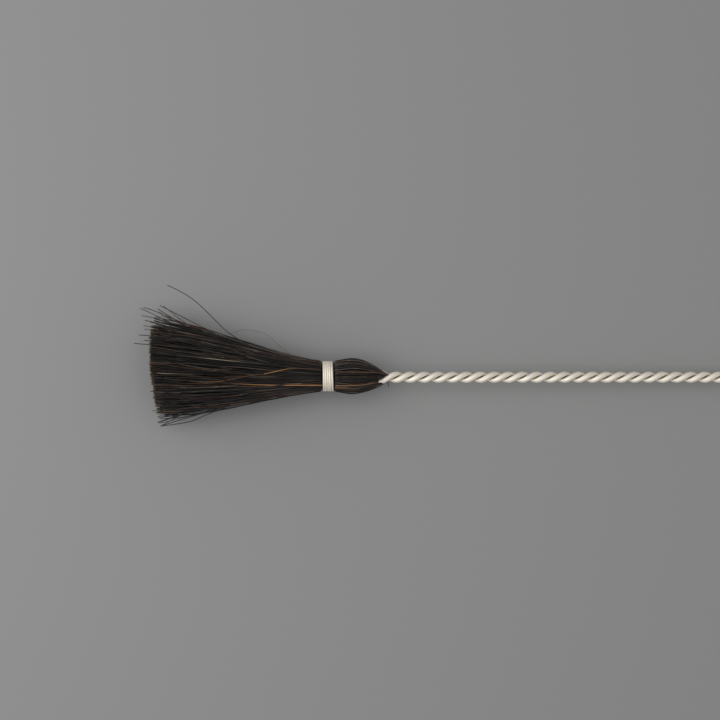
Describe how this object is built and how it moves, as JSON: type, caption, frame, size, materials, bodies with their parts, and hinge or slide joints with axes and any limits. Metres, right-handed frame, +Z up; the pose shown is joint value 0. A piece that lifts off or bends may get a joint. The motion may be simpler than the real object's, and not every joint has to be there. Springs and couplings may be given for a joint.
{
  "type": "calligraphy brush",
  "caption": "Slim hand brush: dark horsehair folded through the eye of a twisted silver-coloured wire handle, lashed with fine wire and opening into a flat-cut fan.",
  "frame": {"origin": "middle of the pressed-flat underside of the hair fan, on the surface that the brush lies on", "axes": "+X towards the tip of the handle, square to the cut end of the hair; +Y across the fan; +Z up from the surface"},
  "size_m": [0.2406, 0.0214, 0.0145],
  "materials": {
    "silver_wire": "satin silver, matt from handling",
    "fine_silver_wire": "satin silver, fine drawn wire",
    "horsehair": "natural dark brown horsehair with a soft sheen"
  },
  "bodies": {
    "root": {"handle_wire": "silver_wire", "binding_wire": "fine_silver_wire", "hair_lock_01": "horsehair", "hair_lock_02": "horsehair", "hair_lock_03": "horsehair", "hair_lock_04": "horsehair", "hair_lock_05": "horsehair", "hair_lock_06": "horsehair", "hair_lock_07": "horsehair", "hair_lock_08": "horsehair", "hair_lock_09": "horsehair", "hair_lock_10": "horsehair", "hair_lock_11": "horsehair", "hair_lock_12": "horsehair"}
  },
  "joints": []
}
